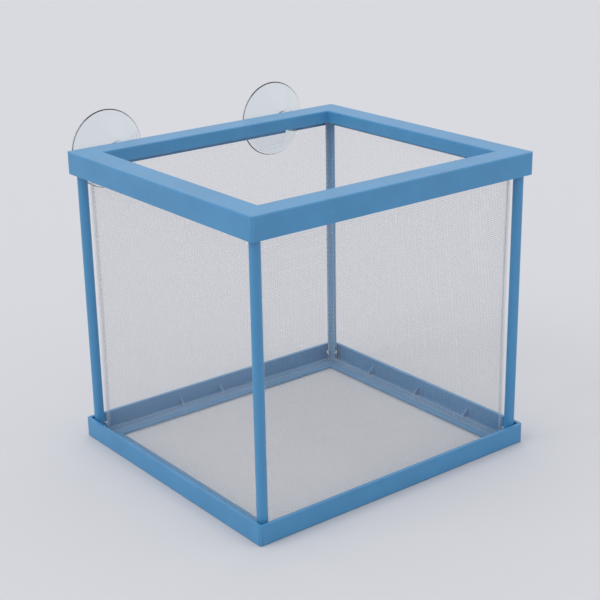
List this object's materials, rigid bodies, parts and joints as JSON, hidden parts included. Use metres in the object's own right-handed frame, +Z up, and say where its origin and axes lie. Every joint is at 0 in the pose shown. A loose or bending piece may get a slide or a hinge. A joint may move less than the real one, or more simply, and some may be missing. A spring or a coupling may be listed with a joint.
{
  "type": "fish breeding box",
  "caption": "Mesh aquarium breeding box: a net bag in a frame of two moulded rims joined by round posts, with suction cups on the back.",
  "frame": {"origin": "under the middle of the whole outline, cups included, on the plane that the box rests on", "axes": "+X along the long side, +Y towards the glass that the suction cups stick to, +Z up"},
  "size_m": [0.165, 0.1636, 0.164],
  "materials": {
    "frame": "smooth moulded light-blue plastic",
    "post": "smooth light-blue plastic rod",
    "net": "fine pale woven mesh",
    "tape": "sheer white binding tape",
    "elastic": "white braided elastic cord",
    "cup": "clear soft plastic"
  },
  "bodies": {
    "breeder": {"upper_rim": "frame", "lower_rim": "frame", "post_front_left": "post", "post_front_right": "post", "post_back_left": "post", "post_back_right": "post", "net_front": "net", "net_back": "net", "net_left": "net", "net_right": "net", "net_floor": "net", "binding_front_left": "tape", "binding_front_right": "tape", "binding_back_left": "tape", "binding_back_right": "tape", "floor_binding": "tape", "hem_casing": "tape", "hem_elastic": "elastic", "upper_corner_loops": "tape", "lower_corner_loops": "tape"},
    "cup_left": {"suction_cup_left": "cup"},
    "cup_right": {"suction_cup_right": "cup"}
  },
  "joints": [
    {"name": "left_cup_slide", "type": "slide", "parent": "breeder", "child": "cup_left", "axis": [0, 0, -1], "range_m": [0, 0.0075]},
    {"name": "right_cup_slide", "type": "slide", "parent": "breeder", "child": "cup_right", "axis": [0, 0, -1], "range_m": [0, 0.0075]}
  ]
}
